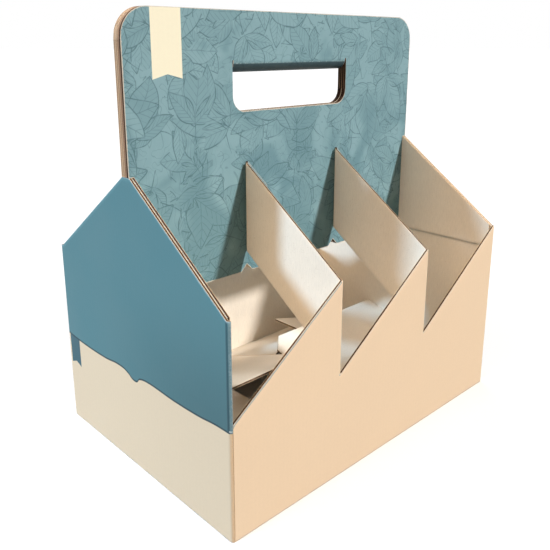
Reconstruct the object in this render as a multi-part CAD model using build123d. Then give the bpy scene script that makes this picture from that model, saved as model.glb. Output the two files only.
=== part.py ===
"""Drink carrier of folded corrugated board.

Three glued pieces: the outer carrier, which is one sheet folded into four walls, four
dividers and a self-locking bottom, and two handle panels that stand back to back along
its middle.  Millimetres, +Z up, +X along the carrier, front at -Y, origin at the middle
of the rim that it stands on.
"""
import os
from math import cos, radians, sin

from build123d import *

# Board
board = 1.5                     # thickness of one ply
bend_inside = 0.1               # inner radius of a square fold
rim_round = 0.5                 # outer edge of the rim that the carrier stands on
gap = 1.0                       # clearance where two edges of board pass each other
overrun = 5.0                   # how far a cutting shape passes the board that it cuts

# Outer carrier
length = 210.0                  # outside, along X
width = 145.0                   # outside, along Y
cells = 3                       # drinks in a row, on each side of the handle
notch_height = 57.0             # low end of each sawtooth above the rim
tooth_rise = 48.0               # high end of a tooth above its low end
divider_climb = 48.0            # rise of a divider from the wall to the handle
seam_width = 18.0               # glue flap that closes the sheet, inside the left end
seam_start = 6.0                # its lower edge above the rim
seam_slant = 6.0                # rise and drop of its two cut corners

# Glue tab at the end of a divider
tab_width = 14.0
tab_slant = 15.0                # drop of the tab's upper corner, rise of its lower one
tab_lower_slant = 5.0

# Self-locking bottom, tented as it springs open
front_lift = 17.5               # degrees that the front flap rises from the rim
rear_lift = 21.5
hook_overlap = 25.5             # reach of a flap's long half past the middle
hook_chamfer = 10.0             # cut corner of the long half
short_setback = 5.0             # short half ends this far before the middle
flap_corner_setback = 10.0      # short half starts this far from the corner
flap_gap = 1.5                  # from the middle to the side of a long half
end_flap_reach = 62.0
end_flap_tip_setback = 12.0     # free corner of an end flap from the wall beside it
end_flap_hinge_setback = 2.0
glue_corner_start = 14.0        # nearest point of an end flap's glued corner to the wall

# Handle panels
handle_plies = 2                # each panel is folded double
handle_top = 228.0
handle_bottom = 92.0            # lower edge of the panels and of their end flanges
handle_corner = 14.0            # radius
relief_width = 8.0              # notch in the lower edge at each divider
relief_depth = 4.0
flange_setback = 2.5            # flange ends this far inside the free edge of the carrier's end

# Hand hole and its folded flap
hole_width = 86.0
hole_height = 25.5
grip_height = 24.0              # board above the hole
hole_corner = 8.0               # radius of the two lower corners
flap_bend = 6.0                 # outer radius of the roll that turns the flap back
flap_droop = 3.0                # degrees that the flap hangs below level
flap_side_gap = 0.6

# Places that follow from the sizes
half_length = length / 2
half_width = width / 2
inner_x = half_length - board
inner_y = half_width - board
pitch = length / cells
eave = notch_height + tooth_rise
shoulder = eave + divider_climb
hole_top = handle_top - grip_height
handle_depth = handle_plies * board
bend_outside = bend_inside + board
slope_start = bend_outside - half_width     # slopes and dividers start to climb where a bend ends
roof_slope = divider_climb / (-slope_start - handle_depth)
fold_places = [pitch * place - half_length for place in range(1, cells)]


def outline(*points):
    """Flat face inside a closed run of straight edges."""
    return make_face(Polyline(*points, close=True))


def along_x(face, start, end):
    """Push a face drawn in (y, z) from one x to another."""
    return extrude(Plane.YZ.offset(start) * face, amount=end - start)


def along_y(face, start, end):
    """Push a face drawn in (x, z) from one y to another."""
    return extrude(Plane.XZ.offset(-start) * face, amount=end - start, dir=(0, 1, 0))


def half_turn(shape):
    """The same shape on the opposite side: the carrier looks alike from front and rear."""
    return Rot(0, 0, 180) * shape


def roof_height(y):
    """Height of the sloping upper edges of the ends and dividers, in front of the handle."""
    return eave + (y - slope_start) * roof_slope


def wall_tube():
    """Four walls to the height of the handle's shoulders, with rounded corner folds."""
    outside = RectangleRounded(length, width, bend_outside)
    inside = RectangleRounded(length - 2 * board, width - 2 * board, bend_inside)
    tube = extrude(outside - inside, amount=shoulder)
    rim = tube.faces().sort_by(Axis.Z)[0]
    return fillet(rim.outer_wire().edges(), rim_round)


def roof_cut():
    """Everything above the front slope of the two ends, and above the front wall."""
    front = -half_width - overrun
    face = outline(
        (front, eave),
        (slope_start, eave),
        (-handle_depth, shoulder),
        (-handle_depth, shoulder + overrun),
        (front, shoulder + overrun),
    )
    return along_x(face, -half_length - overrun, half_length + overrun)


def tooth_cut(low_x, high_x, wall_x):
    """Space above one tooth of the front wall, from its low end to its high end."""
    bend_x = high_x - bend_outside
    slope = tooth_rise / (bend_x - low_x)
    face = outline(
        (wall_x, notch_height + (wall_x - low_x) * slope),
        (bend_x, eave),
        (high_x, eave),
        (high_x, eave + overrun),
        (wall_x, eave + overrun),
    )
    return along_y(face, -half_width - overrun, -inner_y + gap)


def fold_round(fold_x):
    """Sliver outside the bend where a divider turns in from the front wall."""
    inner_side = fold_x - bend_outside
    corner = outline(
        (inner_side, -half_width - overrun),
        (fold_x, -half_width - overrun),
        (fold_x, bend_outside - half_width),
        (inner_side, bend_outside - half_width),
    )
    sliver = corner - Pos(inner_side, bend_outside - half_width) * Circle(bend_outside)
    return extrude(Pos(0, 0, notch_height) * sliver, amount=tooth_rise + overrun)


def divider(fold_x):
    """Strip that runs from a notch of the front wall up to the handle, and its glue tab."""
    strip_plan = Pos(fold_x - board / 2, -(half_width + handle_depth) / 2) * Rectangle(
        board, half_width - handle_depth
    )
    tab_plan = Pos(fold_x - board + (tab_width + board) / 2, -handle_depth - board / 2) * Rectangle(
        tab_width + board, board
    )
    plan = strip_plan + tab_plan
    fold_corner = plan.vertices().sort_by_distance((fold_x - board, -handle_depth))[0]
    plan = fillet(fold_corner, bend_outside - bend_inside / 2)
    strip_side = along_x(
        outline(
            (-half_width, notch_height),
            (slope_start, notch_height),
            (-handle_depth, eave),
            (-handle_depth, shoulder),
            (slope_start, eave),
            (-half_width, eave),
        ),
        fold_x - board,
        fold_x,
    )
    tab_side = along_y(
        outline(
            (fold_x, eave),
            (fold_x + tab_width, eave + tab_lower_slant),
            (fold_x + tab_width, shoulder - tab_slant),
            (fold_x, shoulder),
        ),
        -handle_depth - board,
        -handle_depth,
    )
    return extrude(plan, amount=handle_top) & (strip_side + tab_side)


def bottom_half(lift):
    """Front bottom flap and the right end flap that is glued under it."""
    level = cos(radians(lift))
    rise = sin(radians(lift))
    front_plane = Plane(origin=(0, -inner_y, 0), x_dir=(1, 0, 0), z_dir=(0, -rise, level))
    long_reach = inner_y + hook_overlap
    short_reach = inner_y - short_setback
    front_flap = outline(
        (flap_corner_setback - inner_x, 0),
        (inner_x, 0),
        (inner_x, long_reach),
        (flap_gap + hook_chamfer, long_reach),
        (flap_gap, long_reach - hook_chamfer),
        (flap_gap, short_reach),
    )
    end_plane = Plane(origin=(inner_x, 0, 0), x_dir=(0, 1, 0), z_dir=(rise, 0, level))
    end_flap = outline(
        (-inner_y, 0),
        (end_flap_reach * level - inner_y, end_flap_reach),
        (inner_y - end_flap_tip_setback, end_flap_reach),
        (inner_y - end_flap_hinge_setback, 0),
    )
    glue_end = end_flap_reach * level
    glued_corner = outline(
        (inner_x - glue_corner_start, glue_corner_start / level),
        (inner_x - glue_end, glue_end / level),
        (inner_x - glue_end, glue_corner_start / level),
    )
    return (
        extrude(front_plane * front_flap, amount=board)
        + extrude(end_plane * end_flap, amount=board)
        + extrude(front_plane * glued_corner, amount=-board)
    )


def seam_flap():
    """Glue flap that turns in from the rear wall and closes the sheet on the left end."""
    top = handle_bottom - gap
    face = outline(
        (inner_y, seam_start),
        (inner_y, top),
        (inner_y - seam_width, top - seam_slant),
        (inner_y - seam_width, seam_start + seam_slant),
    )
    return along_x(face, -inner_x, board - inner_x)


def outer_carrier():
    """One folded sheet: walls with sawtooth tops, pentagon ends, dividers and bottom."""
    low_ends = [-half_length] + fold_places
    high_ends = fold_places + [half_length]
    wall_ends = [-inner_x] + fold_places
    bends = [fold_round(place) for place in fold_places]
    cuts = [roof_cut()] + bends
    cuts += [tooth_cut(*ends) for ends in zip(low_ends, high_ends, wall_ends)]
    strips = [divider(place) - bends for place in fold_places]
    carrier = wall_tube() - cuts - [half_turn(cut) for cut in cuts]
    carrier += strips + [half_turn(strip) for strip in strips]
    return carrier + seam_flap() + bottom_half(front_lift) + half_turn(bottom_half(rear_lift))


def hand_hole():
    """Outline of the hand hole: square upper corners, rounded lower ones."""
    hole = Pos(0, hole_top - hole_height / 2) * Rectangle(hole_width, hole_height)
    lower_corners = hole.vertices().group_by(Axis.Y)[0]
    return fillet(lower_corners, hole_corner)


def panel_outline():
    """Upright outline of a handle panel, shouldered over the two ends of the carrier."""
    upper = Pos(0, (shoulder + handle_top) / 2) * Rectangle(length, handle_top - shoulder)
    upper = fillet(upper.vertices().group_by(Axis.Y)[-1], handle_corner)
    lower = Pos(0, (handle_bottom + shoulder) / 2) * Rectangle(
        2 * inner_x, shoulder - handle_bottom
    )
    panel = upper + lower - hand_hole()
    for place in fold_places:
        panel -= outline(
            (place - relief_width / 2, handle_bottom),
            (place + relief_width / 2, handle_bottom),
            (place, handle_bottom + relief_depth),
        )
    return panel


def end_flange(front_y):
    """Inner ply of the left end, hanging from the handle to the height of its lower edge."""
    face = outline(
        (front_y, handle_bottom),
        (-handle_depth, handle_bottom),
        (-handle_depth, shoulder),
        (front_y, roof_height(front_y)),
    )
    return along_x(face, -inner_x, board - inner_x)


def handle_panel():
    """Front panel without its flap; the rear one is the same sheet turned round."""
    panel = along_y(panel_outline(), -handle_depth, 0)
    open_flange = end_flange(flange_setback - half_width)
    closed_flange = end_flange(gap - inner_y)
    return panel + open_flange + mirror(closed_flange, about=Plane.YZ)


def hole_flap():
    """Flap of the hand hole, rolled back through it under its upper edge."""
    droop = radians(flap_droop)
    centre = Vector(flap_bend - handle_depth, hole_top)
    down = Vector(-sin(droop), -cos(droop))
    back = Vector(cos(droop), -sin(droop))
    turn = 90 - flap_droop
    roll_length = (flap_bend - board / 2) * radians(turn)
    tip = back * (hole_height - roll_length)
    outer_end = centre + down * flap_bend
    inner_end = centre + down * (flap_bend - board)
    side = make_face([
        CenterArc(centre, flap_bend, 180, turn),
        Polyline(outer_end, outer_end + tip, inner_end + tip, inner_end),
        CenterArc(centre, flap_bend - board, 180, turn),
        Line((-handle_depth, hole_top), (board - handle_depth, hole_top)),
    ])
    flap_width = hole_width - 2 * flap_side_gap
    flap = along_x(side, -flap_width / 2, flap_width / 2)
    far_edges = flap.faces().sort_by(Axis.Y)[-1].edges().filter_by(Axis.X, reverse=True)
    return fillet(far_edges, hole_corner)


carrier = outer_carrier()
panel = handle_panel()

os.makedirs("parts", exist_ok=True)
export_step(carrier, "parts/outer_carrier.step")
export_step(panel + hole_flap(), "parts/front_handle_panel.step")
export_step(half_turn(panel), "parts/rear_handle_panel.step")
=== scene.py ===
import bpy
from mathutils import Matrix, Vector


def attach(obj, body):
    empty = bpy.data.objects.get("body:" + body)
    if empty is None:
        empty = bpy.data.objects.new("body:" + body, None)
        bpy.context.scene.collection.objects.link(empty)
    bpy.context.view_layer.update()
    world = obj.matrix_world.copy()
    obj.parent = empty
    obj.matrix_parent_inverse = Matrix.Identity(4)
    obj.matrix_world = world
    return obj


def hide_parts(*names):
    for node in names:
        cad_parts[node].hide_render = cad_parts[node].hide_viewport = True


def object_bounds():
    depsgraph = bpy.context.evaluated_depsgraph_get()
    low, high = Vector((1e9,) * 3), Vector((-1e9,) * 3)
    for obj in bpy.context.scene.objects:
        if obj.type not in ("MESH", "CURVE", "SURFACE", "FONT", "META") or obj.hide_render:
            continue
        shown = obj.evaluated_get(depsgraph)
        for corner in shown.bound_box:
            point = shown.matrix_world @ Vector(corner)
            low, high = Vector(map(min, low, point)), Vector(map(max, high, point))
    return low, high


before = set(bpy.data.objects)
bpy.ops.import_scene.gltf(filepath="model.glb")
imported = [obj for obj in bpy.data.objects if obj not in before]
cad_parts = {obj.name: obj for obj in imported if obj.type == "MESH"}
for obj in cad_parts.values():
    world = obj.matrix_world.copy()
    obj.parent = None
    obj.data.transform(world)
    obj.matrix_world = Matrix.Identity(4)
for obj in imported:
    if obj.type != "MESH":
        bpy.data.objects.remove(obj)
cadBox = [list(corner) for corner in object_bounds()]

from math import acos, atan2, cos, pi, radians, sin, sqrt, tan

import bmesh
import bpy
from mathutils import Vector

scene = bpy.context.scene
scene.view_settings.view_transform = "Standard"
mm = 0.001
white = (1.0, 1.0, 1.0, 1.0)
print("frame loaded:", sorted(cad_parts))

# half the length, half the width and the height of the whole carrier, in millimetres
halfLength, halfWidth, handleTop = (round(high / mm, 3) for high in cadBox[1])

# corrugated board in millimetres: two liners and a wave between them, sampled in columns across the flutes
board = dict(
    thick=1.5, liner=0.2, medium=0.18, pitch=2.5, samples=5, bend=1.6, bendInside=0.1,
    lip=0.4, band=2.5, leastTall=0.3, lipShare=0.2, bandShare=0.4, pinch=0.2,  # points by the cut edges
    rimRound=0.5, roundShare=0.29,  # rounded foot
    crush=0.06, crushDepth=0.24, coreFrom=0.06, coreTo=0.6, coreShare=0.45, coreInset=0.16,  # crushed flutes
    farEdge=9.0, creaseWear=0.3,  # distances to an edge, for the wear
    endClear=0.12, columnClear=0.06, flatWithin=0.0005, sharpAngle=38.0)  # spacing of points, and shading
innerX, innerY = halfLength - board["thick"], halfWidth - board["thick"]


# colours are written as they look on the sheet, 0 to 255
def paint(red, green, blue):
    def linear(level):
        level = level / 255
        return level / 12.92 if level <= 0.04045 else ((level + 0.055) / 1.055) ** 2.4
    return (linear(red), linear(green), linear(blue), 1.0)


# node helpers: inputs are given by place or by name, and a socket is linked
def feed(tree, node, ins):
    for slot, value in ins.items():
        if isinstance(value, bpy.types.NodeSocket):
            tree.links.new(value, node.inputs[slot])
        else:
            node.inputs[slot].default_value = value


def put(tree, kind, ins=None, **settings):
    node = tree.nodes.new("ShaderNode" + kind)
    for name, value in settings.items():
        setattr(node, name, value)
    feed(tree, node, ins or {})
    return node


def calc(tree, operation, first, second=0.0, third=0.0, clamp=False):
    node = put(tree, "Math", {0: first, 1: second, 2: third}, operation=operation, use_clamp=clamp)
    return node.outputs[0]


def times(tree, first, second):
    return calc(tree, "MULTIPLY", first, second)


def minus(tree, first, second):
    return calc(tree, "SUBTRACT", first, second)


def apart(tree, value, middle):
    return calc(tree, "ABSOLUTE", minus(tree, value, middle))


# 1 on the negative side of an axis and -1 on the other
def facing(tree, value):
    return calc(tree, "MULTIPLY_ADD", calc(tree, "LESS_THAN", value, 0.0), 2.0, -1.0)


def vectorCalc(tree, operation, first, second=(0.0, 0.0, 0.0)):
    return put(tree, "VectorMath", {0: first, 1: second}, operation=operation).outputs[0]


def scaled(tree, vector, amount):
    return put(tree, "VectorMath", {0: vector, 3: amount}, operation="SCALE").outputs[0]


def blendColour(tree, amount, under, over):
    node = put(tree, "Mix", {0: amount, 6: under, 7: over}, data_type="RGBA", blend_type="MIX")
    return node.outputs[2]


def softStep(tree, value, low, high, fromLevel=0.0, toLevel=1.0):
    ins = {0: value, 1: low, 2: high, 3: fromLevel, 4: toLevel}
    node = put(tree, "MapRange", ins, interpolation_type="SMOOTHSTEP", clamp=True)
    return node.outputs[0]


noiseMiddle, noiseLow, noiseHigh = 0.5, 0.3, 0.7  # most of a noise's values lie between the last two


# output 0 is a value and output 1 a colour
def noise(tree, place, scale, detail, warp=0.0):
    ins = {"Vector": place, "Scale": scale, "Detail": detail, "Distortion": warp}
    return put(tree, "TexNoise", ins).outputs


def newGroup(name, inputs, outputs):
    tree = bpy.data.node_groups.new(name, "ShaderNodeTree")
    for way, sockets in (("INPUT", inputs), ("OUTPUT", outputs)):
        for label, kind in sockets.items():
            tree.interface.new_socket(label, in_out=way, socket_type="NodeSocket" + kind)
    given = tree.nodes.new("NodeGroupInput").outputs
    wanted = tree.nodes.new("NodeGroupOutput").inputs
    return tree, given, wanted


def useGroup(tree, group, ins):
    node = tree.nodes.new("ShaderNodeGroup")
    node.node_tree = group
    feed(tree, node, ins)
    return node.outputs


# liner over the flutes: faint ridges across the run, cloudy ink, small specks
linerFace = dict(cloudScale=26.0, cloudDetail=3.0, speckScale=900.0, speckDetail=2.0, ridgeShare=0.06,
                 speckHeight=0.25, smooth=0.52, rough=0.62)


def makeLinerGroup():
    tree, given, wanted = newGroup(
        "linerFace",
        dict(Colour="Color", Place="Vector", Run="Float", Pitch="Float", Cloud="Float", Speck="Float"),
        dict(Colour="Color", Roughness="Float", Height="Float"),
    )
    turns = calc(tree, "DIVIDE", given["Run"], given["Pitch"])
    ridge = calc(tree, "SINE", times(tree, turns, 2 * pi))
    cloud = noise(tree, given["Place"], linerFace["cloudScale"], linerFace["cloudDetail"])[0]
    speck = noise(tree, given["Place"], linerFace["speckScale"], linerFace["speckDetail"])[0]
    level = calc(tree, "MULTIPLY_ADD", minus(tree, cloud, noiseMiddle), given["Cloud"], 1.0)
    level = calc(tree, "MULTIPLY_ADD", minus(tree, speck, noiseMiddle), given["Speck"], level)
    level = calc(tree, "MULTIPLY_ADD", ridge, times(tree, given["Cloud"], linerFace["ridgeShare"]), level)
    rough = softStep(tree, cloud, noiseLow, noiseHigh, linerFace["smooth"], linerFace["rough"])
    tree.links.new(scaled(tree, given["Colour"], level), wanted["Colour"])
    tree.links.new(rough, wanted["Roughness"])
    tree.links.new(calc(tree, "MULTIPLY_ADD", speck, linerFace["speckHeight"], ridge), wanted["Height"])
    return tree


# uncoated kraft: long fibres, pale and dark flecks
kraftFibre = dict(stretch=(1400.0, 1400.0, 260.0), cloudScale=45.0, detail=4.0, fibreShare=0.6,
                  fleckScale=1500.0, fleckDetail=1.0, fleckFrom=0.66, fleckTo=0.74,
                  dark=0.95, pale=1.04, smooth=0.72, rough=0.86)


def makeKraftGroup():
    tree, given, wanted = newGroup(
        "kraftFibre",
        dict(Colour="Color", Fleck="Color", Place="Vector", Amount="Float"),
        dict(Colour="Color", Roughness="Float", Height="Float"),
    )
    drawn = put(tree, "Mapping", {0: given["Place"], 3: kraftFibre["stretch"]}).outputs[0]
    fibre = noise(tree, drawn, 1.0, kraftFibre["detail"])[0]
    cloud = noise(tree, given["Place"], kraftFibre["cloudScale"], kraftFibre["detail"])[0]
    dots = noise(tree, given["Place"], kraftFibre["fleckScale"], kraftFibre["fleckDetail"])[0]
    fleck = times(tree, softStep(tree, dots, kraftFibre["fleckFrom"], kraftFibre["fleckTo"]), given["Amount"])
    share = kraftFibre["fibreShare"]
    shade = calc(tree, "ADD", times(tree, fibre, share), times(tree, cloud, 1 - share))
    level = softStep(tree, shade, noiseLow, noiseHigh, kraftFibre["dark"], kraftFibre["pale"])
    base = scaled(tree, given["Colour"], level)
    rough = softStep(tree, fibre, noiseLow, noiseHigh, kraftFibre["smooth"], kraftFibre["rough"])
    tree.links.new(blendColour(tree, fleck, base, given["Fleck"]), wanted["Colour"])
    tree.links.new(rough, wanted["Roughness"])
    tree.links.new(fibre, wanted["Height"])
    return tree


# ink lost along a cut edge or a fold, broken up by noise
edgeWear = dict(grainScale=900.0, grainDetail=3.0, patchScale=55.0, patchDetail=1.0, patchFrom=0.35,
                patchTo=0.7, leastReach=0.8, mostReach=1.15, leastWidth=0.001, fullShare=0.45)


def makeWearGroup():
    tree, given, wanted = newGroup(
        "edgeWear",
        dict(Place="Vector", Near="Float", Width="Float", Amount="Float"),
        dict(Mask="Float"),
    )
    grain = noise(tree, given["Place"], edgeWear["grainScale"], edgeWear["grainDetail"])[0]
    patch = noise(tree, given["Place"], edgeWear["patchScale"], edgeWear["patchDetail"])[0]
    patch = softStep(tree, patch, edgeWear["patchFrom"], edgeWear["patchTo"],
                     edgeWear["leastReach"], edgeWear["mostReach"])
    reach = times(tree, times(tree, given["Width"], patch), times(tree, grain, 1 / noiseMiddle))
    kept = calc(tree, "DIVIDE", given["Near"], calc(tree, "MAXIMUM", reach, edgeWear["leastWidth"]))
    mask = softStep(tree, kept, 1.0, edgeWear["fullShare"])
    tree.links.new(times(tree, mask, given["Amount"]), wanted["Mask"])
    return tree


# one three-leaved sprig in every cell of a grid, each turned its own way; sizes are in half cells
sprig = dict(tipPlace=0.34, tipReach=0.6, tipWidth=0.33, sidePlace=-0.36, sideTurn=50.0, sideReach=0.45,
             sideWidth=0.2, taper=0.25, stemFrom=-0.95, stemTo=-0.2, stemPen=0.8,
             veins=4.0, veinSlant=2.2, veinPen=0.6, veinInk=0.7, penCore=0.4,
             wobble=0.16, wobbleScale=1.7, wobbleDetail=2.0,
             pressScale=9.0, pressDetail=2.0, pressFrom=0.3, pressTo=0.6, lightPress=0.35,
             cellMiddle=(0.5, 0.5, 0.0), halvesPerCell=2.0)


def makeSprigGroup():
    tree, given, wanted = newGroup(
        "sprigLayer",
        dict(Place="Vector", Cell="Float", Seed="Float", Line="Float"),
        dict(Line="Float", Leaf="Float", Tone="Float"),
    )
    inCells = scaled(tree, given["Place"], calc(tree, "DIVIDE", 1.0, given["Cell"]))
    shift = put(tree, "CombineXYZ", {0: given["Seed"], 1: given["Seed"]}).outputs[0]
    moved = vectorCalc(tree, "ADD", inCells, shift)
    drift = noise(tree, moved, sprig["wobbleScale"], sprig["wobbleDetail"])[1]
    drift = vectorCalc(tree, "SUBTRACT", drift, (noiseMiddle, noiseMiddle, noiseMiddle))
    moved = vectorCalc(tree, "ADD", moved, scaled(tree, drift, sprig["wobble"]))
    cell = vectorCalc(tree, "FLOOR", moved)
    inside = vectorCalc(tree, "SUBTRACT", moved, cell)
    inside = vectorCalc(tree, "SUBTRACT", inside, sprig["cellMiddle"])
    dice = put(tree, "TexWhiteNoise", {"Vector": cell, "W": given["Seed"]}, noise_dimensions="4D")
    chance = dice.outputs[0]
    turned = put(tree, "VectorRotate", {"Vector": inside, "Angle": times(tree, chance, 2 * pi)},
                 rotation_type="Z_AXIS").outputs[0]
    parts = put(tree, "SeparateXYZ", {0: turned}).outputs
    along = times(tree, parts[0], sprig["halvesPerCell"])
    across = calc(tree, "ABSOLUTE", times(tree, parts[1], sprig["halvesPerCell"]))
    pen = calc(tree, "DIVIDE", times(tree, given["Line"], sprig["halvesPerCell"]), given["Cell"])

    def penLine(offset, width=1.0):
        return softStep(tree, calc(tree, "DIVIDE", offset, times(tree, pen, width)), 1.0, sprig["penCore"])

    def oneLeaf(leafAlong, leafAcross, reach, width):
        spot = calc(tree, "DIVIDE", leafAlong, reach)
        bulge = minus(tree, 1.0, times(tree, spot, spot))
        half = times(tree, bulge, calc(tree, "MULTIPLY_ADD", spot, -sprig["taper"] * width, width))
        within = calc(tree, "GREATER_THAN", bulge, 0.0)
        edge = minus(tree, half, leafAcross)
        outline = times(tree, penLine(calc(tree, "ABSOLUTE", edge)), within)
        body = times(tree, calc(tree, "GREATER_THAN", edge, 0.0), within)
        slope = times(tree, leafAcross, sprig["veinSlant"] / width)
        slant = minus(tree, times(tree, spot, sprig["veins"]), slope)
        vein = apart(tree, calc(tree, "FRACT", slant), 0.5)
        vein = times(tree, penLine(times(tree, vein, reach / sprig["veins"]), sprig["veinPen"]), body)
        rib = times(tree, penLine(leafAcross, sprig["veinPen"]), body)
        fine = times(tree, calc(tree, "MAXIMUM", vein, rib), sprig["veinInk"])
        return calc(tree, "MAXIMUM", outline, fine), body

    tipAlong = minus(tree, along, sprig["tipPlace"])
    tipInk, tipBody = oneLeaf(tipAlong, across, sprig["tipReach"], sprig["tipWidth"])
    bend = radians(sprig["sideTurn"])
    shifted = minus(tree, along, sprig["sidePlace"])
    sideAlong = calc(tree, "MULTIPLY_ADD", across, sin(bend), times(tree, shifted, cos(bend)))
    sideAlong = minus(tree, sideAlong, sprig["sideReach"])
    sideAcross = calc(tree, "MULTIPLY_ADD", across, cos(bend), times(tree, shifted, -sin(bend)))
    sideAcross = calc(tree, "ABSOLUTE", sideAcross)
    sideInk, sideBody = oneLeaf(sideAlong, sideAcross, sprig["sideReach"], sprig["sideWidth"])
    onStem = times(tree, calc(tree, "GREATER_THAN", along, sprig["stemFrom"]),
                   calc(tree, "LESS_THAN", along, sprig["stemTo"]))
    stem = times(tree, penLine(across, sprig["stemPen"]), onStem)
    ink = calc(tree, "MAXIMUM", calc(tree, "MAXIMUM", tipInk, sideInk), stem)
    press = noise(tree, moved, sprig["pressScale"], sprig["pressDetail"])[0]
    press = softStep(tree, press, sprig["pressFrom"], sprig["pressTo"], sprig["lightPress"], 1.0)
    tree.links.new(times(tree, ink, press), wanted["Line"])
    tree.links.new(calc(tree, "MAXIMUM", tipBody, sideBody), wanted["Leaf"])
    tree.links.new(chance, wanted["Tone"])
    return tree


linerGroup = makeLinerGroup()
kraftGroup = makeKraftGroup()
wearGroup = makeWearGroup()
sprigGroup = makeSprigGroup()
print("node groups made")


# a material starts with its places: object coordinates in millimetres, the flute run and the nearest edge
def startMaterial(name):
    material = bpy.data.materials.new(name)
    material.use_nodes = True
    tree = material.node_tree
    shader = tree.nodes["Principled BSDF"]
    place = put(tree, "TexCoord").outputs["Object"]
    spot = put(tree, "SeparateXYZ", {0: scaled(tree, place, 1 / mm)}).outputs
    run = put(tree, "Attribute", attribute_name="fluteRun").outputs["Fac"]
    near = put(tree, "Attribute", attribute_name="edgeNear").outputs["Fac"]
    return material, tree, shader, dict(place=place, x=spot[0], y=spot[1], z=spot[2], run=run, near=near)


def bumpInto(tree, shader, height, distance):
    bump = put(tree, "Bump", {"Height": height, "Distance": distance, "Strength": 1.0})
    tree.links.new(bump.outputs[0], shader.inputs["Normal"])


# printed side of the sheet: a colour field, then the liner's look, then lost ink at the edges
printLook = dict(cloud=0.05, speck=0.05, wear=0.8, wearWidth=0.5, bare=paint(226, 214, 196), gloss=0.28,
                 ridge=0.000003, soft=0.1)


def finishPrint(tree, shader, at, colour, look):
    face = useGroup(tree, linerGroup, dict(Colour=colour, Place=at["place"], Run=at["run"],
                                           Pitch=board["pitch"], Cloud=look["cloud"], Speck=look["speck"]))
    worn = useGroup(tree, wearGroup, dict(Place=at["place"], Near=at["near"], Width=look["wearWidth"],
                                          Amount=look["wear"]))["Mask"]
    tree.links.new(blendColour(tree, worn, face["Colour"], look["bare"]), shader.inputs["Base Color"])
    tree.links.new(face["Roughness"], shader.inputs["Roughness"])
    shader.inputs["Specular IOR Level"].default_value = look["gloss"]
    bumpInto(tree, shader, face["Height"], look["ridge"])


# printed band that hangs down and ends in a swallow tail
def pennant(tree, across, height, middle, half, foot, notch):
    soft = printLook["soft"]
    aside = apart(tree, across, middle)
    tail = calc(tree, "MULTIPLY_ADD", minus(tree, half, aside), notch / half, foot)
    inside = softStep(tree, aside, half + soft, half - soft)
    return times(tree, inside, softStep(tree, minus(tree, height, tail), -soft, soft))


# ends of the carrier: blue over cream, parted by a slightly wavy line, with a small tag near one edge
endLook = dict(
    blue=paint(86, 130, 137), cream=paint(235, 215, 184), borderInkFoldShade=paint(26, 50, 60),
    border=[(-71, 54.4), (-62, 54.2), (-51, 53.1), (-32, 52.5), (-8.4, 52.9), (-1.9, 51.7), (2.1, 49.1),
            (8.6, 51.2), (15.3, 52.5), (33, 51.2), (61, 51.5), (73, 52.7)],  # place across and height
    borderHalf=73.0, borderLow=40.0, borderHigh=60.0, borderSoft=0.12,
    lineLift=0.3, lineHalf=0.6, lineCore=0.3, lineDepth=0.9,
    tagBlue=paint(62, 98, 108), tagMiddle=65.55, tagHalf=5.25, tagLow=34.9, tagNotch=2.0,
    foldAt=71.0, foldHalf=0.9, foldShadeCore=0.2, foldShadeDepth=0.6,
    stripInk=paint(128, 154, 160), stripTan=paint(226, 190, 148),
    stripFrom=71.5, stripSoft=0.4, stripDepth=0.6,
    tornWhite=paint(196, 208, 208), tornHeight=55.3, tornReach=0.45, tornSoft=0.3, tornFrom=71.2,
    tornScale=700.0, tornDetail=2.0, tornWander=1.2,
    blueBare=paint(158, 178, 183), creamBare=paint(214, 178, 140), wear=0.6, wearWidth=0.7,
    blueShade=0.34, creamShade=0.06, shadeFrom=50.0, shadeHigh=115.0, shadeLow=50.0)


# height of the line between blue and cream
def makeBorder(tree, across):
    half, low, high = endLook["borderHalf"], endLook["borderLow"], endLook["borderHigh"]
    share = calc(tree, "DIVIDE", minus(tree, across, -half), 2 * half)
    curve = put(tree, "FloatCurve", {"Value": share})
    line = curve.mapping.curves[0]
    points = [((y + half) / (2 * half), (z - low) / (high - low)) for y, z in endLook["border"]]
    while len(line.points) < len(points):
        line.points.new(*points[-1])
    for point, location in zip(line.points, points):
        point.location = location
    curve.mapping.update()
    return calc(tree, "MULTIPLY_ADD", curve.outputs[0], high - low, low)


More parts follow.
